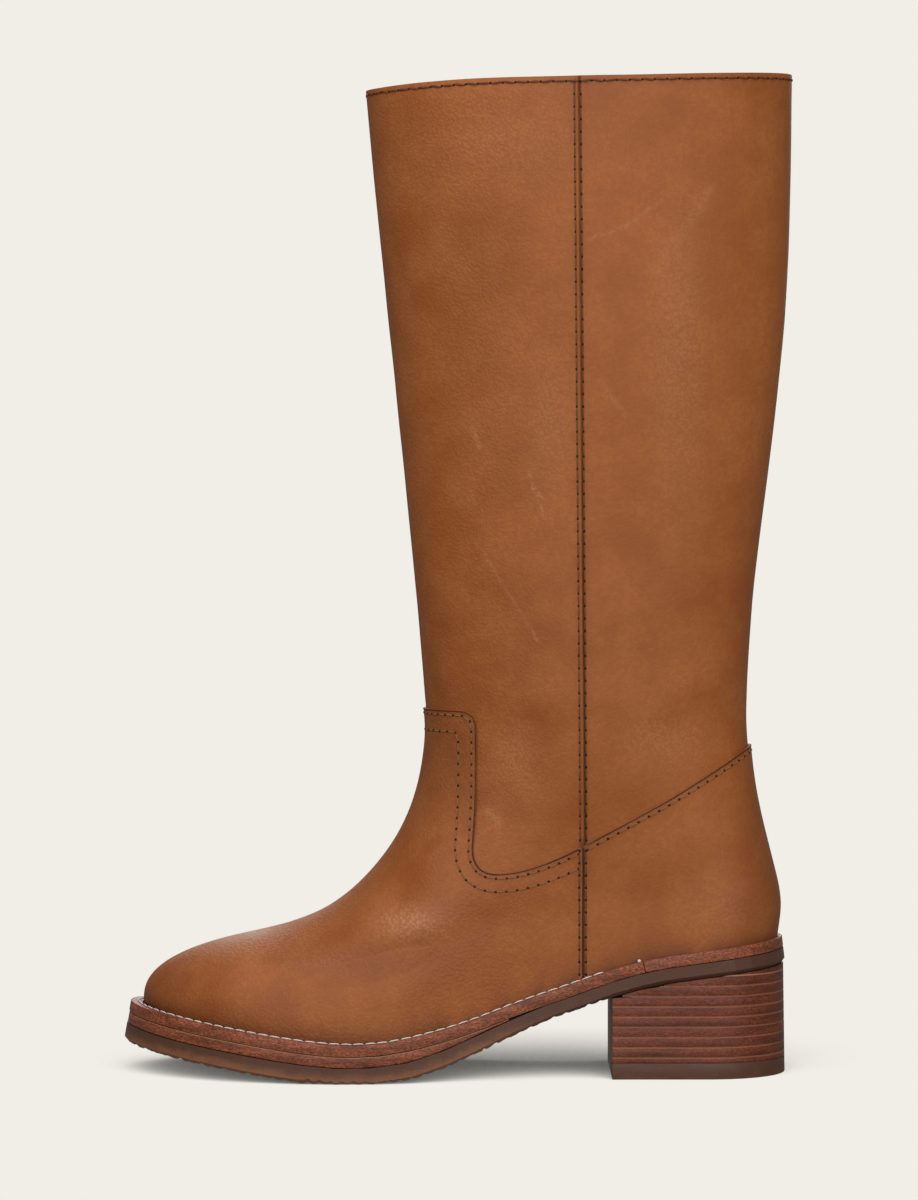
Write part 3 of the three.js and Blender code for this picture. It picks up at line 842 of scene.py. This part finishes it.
def shapeLeather(piece, onLeg, edge):
    mesh = piece.data
    tree = treeOf(piece)
    paintedShadeAndDye = mesh.attributes.new("paintedShadeAndDye", "FLOAT", "POINT")
    sheenAndWear = mesh.attributes.new("sheenAndWear", "FLOAT", "POINT")
    moves = []
    for v in mesh.vertices:
        x, z = v.co.x / mm, v.co.z / mm
        outside = isOutside(tree, v.co, v.normal)
        lift = 0.0
        if outside:
            lift = skin["drift"] * noise.noise(v.co * 16) + skin["fineDrift"] * noise.noise(v.co * 48)
            lift += skin["fullness"] + skin["backFullness"] * max(0, v.normal.x) if onLeg or x > 60 else 0
            lift += surfaceShift(x, z, v.normal, onLeg)
            if not onLeg:
                lift -= skin["instepDip"] * bump((x + 62) / 20) * max(0, v.normal.z)
        arch = collar["arch"] * bump((x - collar["archX"]) / 40) if onLeg and z > 350 else 0
        moves.append(v.co + v.normal * lift * mm + Vector((0, 0, arch * min(1, (z - 350) / 40) * mm)))
        # painted shade darkens the leather by the welt, beside the seam and in its valley; the cut edges get
        # their dye darkened with painted shade, and the collar rim a dark line
        height = (v.co.z - weltTopAt(v.co.x)) / mm
        dark = skin["weltDark"] * math.exp(-max(height, 0) / skin["weltFade"])
        if edge:
            dark = max(dark, skin["cutDark"] * bump(distanceTo(edge, x, z) / skin["cutFade"]))
        if onLeg:
            rim = skin["rimDark"] * bump((v.co.z - topZAt(v.co.x)) / mm / skin["rimFade"])
            depth = 0.4 + 0.4 * min(1, max(0, (300 - z) / 120))
            lean = (x - seamXAt(z) - seam["valley"]) / 0.5
            # painted shade in the seam's valley
            valley = depth * bump(lean) if abs(v.normal.y) > 0.6 else 0
            # painted shade beside the seam
            beside = skin["seamDark"] * bump((x - seamXAt(z)) / skin["seamFade"]) if outside else 0
            dark = max(dark, rim, valley, beside)
        paintedShadeAndDye.data[v.index].value = min(max(dark, strongest(paintedShades, x, z)), 1.0)
        # painted highlights, from the list of paler places
        sheenAndWear.data[v.index].value = strongest(highlightsAndRubs, x, z)
    for v, co in zip(mesh.vertices, moves):
        v.co = co
    mesh.update()


shapeLeather(upperSkin, True, None)
shapeLeather(vampSkin, False, vampEdge() + [(vampCut["seamX"], 30.0)])
shapeLeather(counterSkin, False, [(counterCut["seamX"], 30.0)] + counterEdge())
print("creases and seam shaped")

tanLeather = makeUpperLeather()
liningLeather = makePlainLeather("liningLeather", (0.4, 0.225, 0.115), (0.48, 0.275, 0.145), 0.75, 1500.0)
finished(upperSkin, "upper", "upper_leather", tanLeather, liningLeather)
for i in liningFaces:
    upperSkin.data.polygons[i].material_index = 1
# dark leather for the beads: the cut edges' dye with painted shade, and painted shade down the low seam's
# groove
edgeDyeAndShade = makePlainLeather("edgeDyeAndShadeLeather", (0.045, 0.013, 0.005), (0.1, 0.033, 0.012), 0.55, 1500.0)
finished(vampSkin, "vamp", "upper_leather", tanLeather)
finished(counterSkin, "counter", "upper_leather", tanLeather)
for piece in (upperSkin, vampSkin, counterSkin):
    smooth(piece, 45)


# sole edges, insole and heel lifts
edgeColors = {"dark": (0.085, 0.02, 0.01), "light": (0.46, 0.13, 0.052), "joint": (0.4, 0.19, 0.1)}
heelColors = {"dark": (0.061, 0.013, 0.007), "light": (0.268, 0.061, 0.021), "joint": (0.42, 0.19, 0.1)}
secondLift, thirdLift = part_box("heel_lift_2")[0][2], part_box("heel_lift_3")[0][2]
heelJoints = {"first": secondLift, "pitch": thirdLift - secondLift, "color": heelColors["joint"]}


def dressNode(node, name, slotName, mat, bevel=0.16):
    piece = copyOfNode(node, name)
    roundCorners(piece, bevel, 2, 40)
    finished(piece, node, slotName, mat)
    smooth(piece, 32)
    return piece


edgeLeather = makeEdgeLeather("soleEdgeLeather", edgeColors["dark"], edgeColors["light"])
heelLeather = makeEdgeLeather("stackedHeelLeather", heelColors["dark"], heelColors["light"], heelJoints)
jointDark = tuple(c * 0.6 for c in edgeColors["joint"])
jointLeather = makePlainLeather("paleJoint", jointDark, edgeColors["joint"], 0.6, 1500.0)
weltPiece = dressNode("welt", "weltStrip", "edge_leather", edgeLeather)
dressNode("heel_rand", "heelRandStrip", "edge_leather", edgeLeather)
midsolePiece = dressNode("midsole", "midsoleLayer", "edge_leather", edgeLeather, 0.3)


def paleCorner(piece, low, high):
    # the bevel between two layers shows paler, undyed leather
    piece.data.materials.append(jointLeather)
    for face in piece.data.polygons:
        if low < face.normal.z < high and (face.normal.x ** 2 + face.normal.y ** 2) > 0.1:
            face.material_index = 1


paleCorner(weltPiece, -0.94, -0.3)
paleCorner(midsolePiece, 0.3, 0.94)
dressNode("insole", "insoleSock", "lining", liningLeather, 0.6)
for node in sorted(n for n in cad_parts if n.startswith("heel_lift_")):
    dressNode(node, node.replace("heel_lift_", "heelLift"), "heel_leather", heelLeather, 0.14)
print("welt, midsole, insole and heel lifts dressed")


# rubber: outsole with a rippled tread, and the piece under the heel
tread = {"step": 0.8, "across": 14, "depth": 1.25, "pitch": 4.6, "wander": 1.6, "fade": 6, "cell": 2}
soleRubber = makeRubber("brownRubber", (0.078, 0.032, 0.018), (0.195, 0.076, 0.034))


def ripple(x, y):
    # depth in mm: irregular waves across the sole
    wander = tread["wander"] * noise.noise(Vector((x / 22, y / 16, 3)))
    wave = 0.5 + 0.5 * math.sin(2 * math.pi * (x + wander) / tread["pitch"])
    chip = 0.5 + 0.5 * noise.noise(Vector((x / 2.2, y / 5, 9)))
    return tread["depth"] * (0.5 * wave ** 3 + 0.6 * max(0, chip - 0.3))


def makeOutsole():
    piece = copyOfNode("outsole", "outsoleRubber")
    low, high = (Vector(c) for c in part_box("outsole"))
    x = low.x + tread["step"] * mm
    while x < high.x:
        divide((x, 0, 0), (1, 0, 0))
        x += tread["step"] * mm
    for i in range(1, tread["across"]):
        divide((0, low.y + (high.y - low.y) * i / tread["across"], 0), (0, 1, 0))
    bottom = {i for f in piece.data.polygons if f.normal.z < -0.8 for i in f.vertices}
    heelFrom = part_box("heel_top_lift")[0][0]
    for i in bottom:
        v = piece.data.vertices[i]
        fade = min(1, max(0, (heelFrom - v.co.x) / (tread["fade"] * mm)))
        v.co.z += ripple(v.co.x / mm, v.co.y / mm) * fade * mm
    lows, highs = {}, {}

    def cellOf(v):
        return round(v.co.x / (tread["cell"] * mm))

    for v in piece.data.vertices:
        cell = cellOf(v)
        lows[cell] = min(lows.get(cell, 1), v.co.z)
        highs[cell] = max(highs.get(cell, 0), v.co.z)

    def level(v):
        cell = cellOf(v)
        return 1 - (v.co.z - lows[cell]) / max(highs[cell] - lows[cell], mm)

    shadeByDepth(piece, level, lambda x: 1 - 0.75 * min(1, max(0, (x - 5) / 45)))
    finished(piece, "outsole", "sole_rubber", soleRubber)
    smooth(piece, 42)


def shadeByDepth(piece, level, fade):
    # "low" runs from 0 at the top of the rubber, darkened there with painted shadow under the midsole, to 1
    # at its paler lower edge
    low = piece.data.attributes.new("low", "FLOAT", "POINT")
    for v in piece.data.vertices:
        low.data[v.index].value = level(v) * fade(v.co.x / mm)


makeOutsole()
topPiece = dressNode("heel_top_lift", "heelTopPiece", "sole_rubber", soleRubber, 0.5)
# darker above with painted shadow, paler at the bottom
shadeByDepth(topPiece, lambda v: 0.4 if v.co.z < 0.002 else 0.05, lambda x: 1.0)
print("rubber dressed")


# stitching
threads = {
    "tan": {"color": (0.29, 0.118, 0.044), "length": 3.8, "thick": 0.62},
    "brown": {"color": (0.18, 0.069, 0.028), "length": 4.3, "thick": 0.66},
    "maroon": {"color": (0.145, 0.048, 0.025), "length": 4.9, "thick": 0.95},
    "cream": {"color": (0.72, 0.65, 0.59), "length": 4.55, "thick": 0.74},
}
# the dark blobs at the stitch holes are painted shade inside the holes
paintedHoleShade = makePlainLeather("stitchHoleShade", (0.012, 0.006, 0.004), (0.03, 0.014, 0.008), 0.8, 1500.0)


def makeStitchShape(name, kind, mat):
    # one thread lying between two holes, modelled once and copied along each row
    bpy.ops.mesh.primitive_uv_sphere_add(segments=8, ring_count=7, radius=0.5)
    stitch = bpy.context.object
    stitch.name = name
    editAll()
    bpy.ops.transform.rotate(value=math.pi / 2, orient_axis="Y", center_override=(0, 0, 0))
    bpy.ops.transform.resize(value=(kind["length"] * mm, kind["thick"] * mm, kind["thick"] * 0.8 * mm))
    leaveEdit()
    for v in stitch.data.vertices:
        v.co.z -= 0.28 * kind["thick"] * mm * (2 * v.co.x / (kind["length"] * mm)) ** 4
    stitch.data.materials.append(mat)
    smooth(stitch, 60)
    return stitch


def makeHoleShape():
    # a dark flattened blob on the leather: painted shade of a stitch hole
    bpy.ops.mesh.primitive_uv_sphere_add(segments=10, ring_count=6, radius=0.5 * mm)
    hole = bpy.context.object
    hole.name = "hole"
    editAll()
    bpy.ops.transform.resize(value=(1.25, 1.0, 0.4))
    leaveEdit()
    hole.data.materials.append(paintedHoleShade)
    smooth(hole, 60)
    return hole


stitches = {
    kind: makeStitchShape(kind + "Stitch", made, makeThread(kind + "Thread", made["color"]))
    for kind, made in threads.items()
}
holeShape = makeHoleShape()


def spaced(path, pitch):
    # places every pitch along a path of (point, normal), with the way it runs
    places, covered = [], 0.0
    for (p0, n0), (p1, n1) in zip(path, path[1:]):
        size = (p1 - p0).length
        while size > 0 and covered <= size:
            t = covered / size
            places.append((p0.lerp(p1, t), n0.lerp(n1, t).normalized(), (p1 - p0).normalized()))
            covered += pitch
        covered -= size
    return places


def placed(shape, point, normal, way, rise, sway=0.0):
    side = normal.cross(way).normalized()
    along = side.cross(normal).normalized()
    turned = along * math.cos(sway) + side * math.sin(sway)
    across = normal.cross(turned).normalized()
    spot = Matrix((turned, across, normal)).transposed().to_4x4()
    spot.translation = point + normal * rise
    piece = copyOf(shape, "copy")
    piece.data.transform(spot)
    return piece


def sew(name, paths, pitch, kind="tan", rise=0.16, holes=True, sway=0.05):
    pieces = []
    for path in paths:
        marks = spaced(path, pitch * mm)
        for i, (point, normal, way) in enumerate(marks):
            if holes:
                pieces.append(placed(holeShape, point, normal, way, 0.03 * mm))
            if i + 1 < len(marks):
                nextPoint, nextNormal, _ = marks[i + 1]
                middle = (point + nextPoint) / 2
                lie = (nextPoint - point).normalized()
                turn = sway * random.uniform(-1, 1)
                up = (normal + nextNormal).normalized()
                pieces.append(placed(stitches[kind], middle, up, lie, rise * mm, turn))
    onlySelect(*pieces)
    bpy.ops.object.join()
    row = bpy.context.object
    row.name = row.data.name = name
    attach(row, "root")


def onSide(tree, x, z, side):
    hit, normal, _, _ = tree.ray_cast(Vector((x * mm, side * 0.2, z * mm)), Vector((0, -side, 0)), 0.4)
    return (hit, normal) if hit else None


def dense(line, step=0.4):
    out = []
    for (x0, z0), (x1, z1) in zip(line, line[1:]):
        count = max(1, int(math.hypot(x1 - x0, z1 - z0) / step))
        out += [(x0 + (x1 - x0) * i / count, z0 + (z1 - z0) * i / count) for i in range(count)]
    return out + [line[-1]]


def silhouetteX(tree, z, front):
    # where the leather's front or back ridge is at a height
    sign = 1 if front else -1
    best = None
    for y in (-3, -1, 0, 1, 2, 4, 6):  # mm to each side of the middle
        hit = tree.ray_cast(Vector((-sign * 0.3, y * mm, z * mm)), Vector((sign, 0, 0)), 0.6)[0]
        if hit and (best is None or sign * hit.x < sign * best):
            best = hit.x
    return best / mm


def easedFrom(edgeX, point, heightAt, count=60):
    # closer together towards the ridge, where the leather turns away
    out = []
    for i in range(1, count + 1):
        x = edgeX + (point - edgeX) * (1 - math.cos(math.pi / 2 * i / count))
        out.append((x, heightAt(x)))
    return out


def rowOn(tree, line, side):
    hits = [onSide(tree, x, z, side) for x, z in line]
    return [h for h in hits if h]


legTree = treeOf(upperSkin)
vampTree = treeOf(vampSkin)
counterTree = treeOf(counterSkin)


def roundTheLeg(tree, heightAt, frontX, backX):
    # all the way round the collar
    half = easedFrom(frontX, (frontX + backX) / 2, heightAt)
    other = easedFrom(backX, (frontX + backX) / 2, heightAt)[::-1]
    outer = rowOn(tree, half + other[1:], -1)
    inner = rowOn(tree, half + other[1:], 1)
    return outer + inner[::-1] + outer[:1]


def collarHeight(x):
    return topZAt(x * mm) / mm - collar["rowDrop"]


stitching = {  # mm from the cut edge, and from one stitch to the next
    "collarPitch": 5.0, "vamp": 1.9, "vampSecond": 7.1, "secondDrop": 1.4, "secondCorner": 2.4,
    "vampPitch": 4.3, "counter": 2.0, "counterPitch": 4.6, "lowSeam": 1.1, "cutEdge": 0.3,
    "groove": 0.25, "grooveThick": 0.42,
}
collarFront = silhouetteX(legTree, collar["rowFrontZ"], True)
collarBack = silhouetteX(legTree, collar["rowBackZ"], False)
collarRow = roundTheLeg(legTree, collarHeight, collarFront, collarBack)
sew("collarStitching", [collarRow], stitching["collarPitch"], "maroon", 0.2, True, 0.2)

sideRows = []
sideHeights = [seam["rowTopZ"] - 2 * i for i in range(150)] + [seam["rowLowZ"]]
for side in (-1, 1):
    for row in (-seam["rows"], seam["rows"]):
        sideRows.append(rowOn(legTree, [(seamXAt(z) + row, z) for z in sideHeights], side))
sew("sideSeamStitching", sideRows, seam["pitch"], "brown")


def vampRow(distance, drop=0.0, corner=0.0):
    # across the tab and round, both sides in one thread
    line = inset(vampEdge(), distance)
    if drop:
        top, side = line[0][1] - drop, vampCut["tabX"] - distance
        start = (side - corner, top)
        turned = bend(start, (side, top), (side, top - corner), 4)
        below = line[11:]  # the cut edge from below the tab's corner on
        line = [(vampCut["beyondX"], top), start] + turned + below
    x0, z0 = line[1]
    ridge = silhouetteX(vampTree, z0, True)
    front = easedFrom(ridge, x0, lambda x: z0, 40)
    rest = [p for p in dense(line[1:]) if p[0] < vampCut["seamX"] - 1.2]
    outer = rowOn(vampTree, front + rest, -1)
    inner = rowOn(vampTree, front + rest, 1)
    return outer[::-1] + inner


def paintEdge(name, path, thick=0.34):
    # a thin dark bead along the leather: at a cut edge it is the edge's dye darkened with painted shade, in
    # the low seam's groove it is painted shade alone
    curve = bpy.data.curves.new(name, "CURVE")
    curve.dimensions = "3D"
    curve.bevel_depth = thick * mm
    curve.bevel_resolution = 1
    spline = curve.splines.new("POLY")
    spline.points.add(len(path) - 1)
    for place, (point, normal) in zip(spline.points, path):
        place.co = (*(point - normal * 0.12 * mm), 1)
    bead = bpy.data.objects.new(name, curve)
    bpy.context.scene.collection.objects.link(bead)
    onlySelect(bead)
    bpy.ops.object.convert(target="MESH")
    finished(bead, None, "upper_leather", edgeDyeAndShade)
    smooth(bead, 60)


paintEdge("vampCutEdge", vampRow(stitching["cutEdge"]))
sew("vampEdgeStitching", [vampRow(stitching["vamp"])], stitching["vampPitch"])
secondRow = vampRow(stitching["vampSecond"], stitching["secondDrop"], stitching["secondCorner"])
sew("vampSecondStitching", [secondRow], stitching["vampPitch"])


def counterRow(distance):
    line = dense(inset(counterEdge(), distance))
    back = silhouetteX(counterTree, counterCut["backZ"] - 3, False)
    flat = [p for p in line if counterCut["seamX"] + 1.5 < p[0] < back - 14]
    rise = (counterCut["backZ"] - counterCut["midZ"]) / (counterCut["backX"] - counterCut["midX"])
    x0, z0 = flat[-1]
    turn = easedFrom(back, x0, lambda x: z0 + (x - x0) * rise, 40)[::-1]
    outer = rowOn(counterTree, flat + turn, -1)
    inner = rowOn(counterTree, flat + turn, 1)
    return outer + inner[::-1]


paintEdge("counterCutEdge", counterRow(stitching["cutEdge"]))
sew("counterStitching", [counterRow(stitching["counter"])], stitching["counterPitch"])

frontRowX, backRowX = vampCut["seamX"] - stitching["lowSeam"], counterCut["seamX"] + stitching["lowSeam"]
lowSeamRows = []
for side in (-1, 1):
    for tree, x in ((vampTree, frontRowX), (counterTree, backRowX)):
        lowSeamRows.append(rowOn(tree, [(x, z) for z in range(90, 40, -1)], side))
# dark beads down the low seam's groove: painted shade
for side, name in ((-1, "outer"), (1, "inner")):
    x = counterCut["seamX"] + stitching["groove"]
    joint = rowOn(counterTree, [(x, 91 - 0.8 * i) for i in range(70)], side)
    paintEdge(name + "SeamGrooveShade", joint, stitching["grooveThick"])
sew("lowSeamStitching", lowSeamRows, seam["pitch"], "brown")
print("leather sewn")

weltStitch = {  # mm; the toe's turn is about one middle, and the thread is lost to sight from lostFrom on
    "inset": 3.1, "waistInset": 1.9, "waistFrom": 30, "waistOver": 20, "toeX": -86.0, "toeY": 1.4,
    "pitch": 4.75, "rise": 0.3, "lostFrom": 58,
}
weltTree = treeOf(weltPiece)


def weltPath():
    low, high = (Vector(c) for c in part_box("welt"))
    outline = []
    for x in range(int(high.x / mm) - 2, int(weltStitch["toeX"]), -2):
        outline.append((Vector((x * mm, -0.2, 0)), Vector((0, 1, 0))))
    middle = Vector((weltStitch["toeX"] * mm, weltStitch["toeY"] * mm, 0))
    for i in range(61):
        turn = -math.pi / 2 - math.pi * i / 60
        out = Vector((math.cos(turn), math.sin(turn), 0))
        outline.append((middle + out * 0.2, -out))
    for x in range(int(weltStitch["toeX"]), int(high.x / mm) - 1, 2):
        outline.append((Vector((x * mm, 0.2, 0)), Vector((0, -1, 0))))
    path = []
    for start, way in outline:
        for z in range(int(high.z / mm), int(low.z / mm), -1):
            edge = weltTree.ray_cast(Vector((start.x, start.y, (z - 0.5) * mm)), way, 0.3)[0]
            if edge:
                break
        if not edge:
            continue
        narrowing = min(1, max(0, (start.x / mm - weltStitch["waistFrom"]) / weltStitch["waistOver"]))
        deep = weltStitch["inset"] + narrowing * (weltStitch["waistInset"] - weltStitch["inset"])
        spot = edge + way * deep * mm
        top, normal, _, _ = weltTree.ray_cast(Vector((spot.x, spot.y, 0.2)), Vector((0, 0, -1)), 0.4)
        if top and normal.z > 0.5:
            path.append((top, normal))
    return path


def knotAt(place, kind):
    # where the thread ends
    point, normal = place
    bpy.ops.mesh.primitive_uv_sphere_add(segments=12, ring_count=8, radius=0.75 * mm)
    knot = bpy.context.object
    knot.name = "weltThreadEnd"
    knot.data.transform(Matrix.Translation(point + normal * 0.4 * mm))
    finished(knot, None, "edge_leather", stitches[kind].data.materials[0])
    smooth(knot, 60)


weltRow = weltPath()
shown = [place for place in weltRow if place[0].x < weltStitch["lostFrom"] * mm]
sew("weltStitching", [shown], weltStitch["pitch"], "cream", weltStitch["rise"], False, 0.13)
knotAt(weltRow[0], "cream")
for shape in (*stitches.values(), holeShape):
    bpy.data.objects.remove(shape)
print("welt sewn")
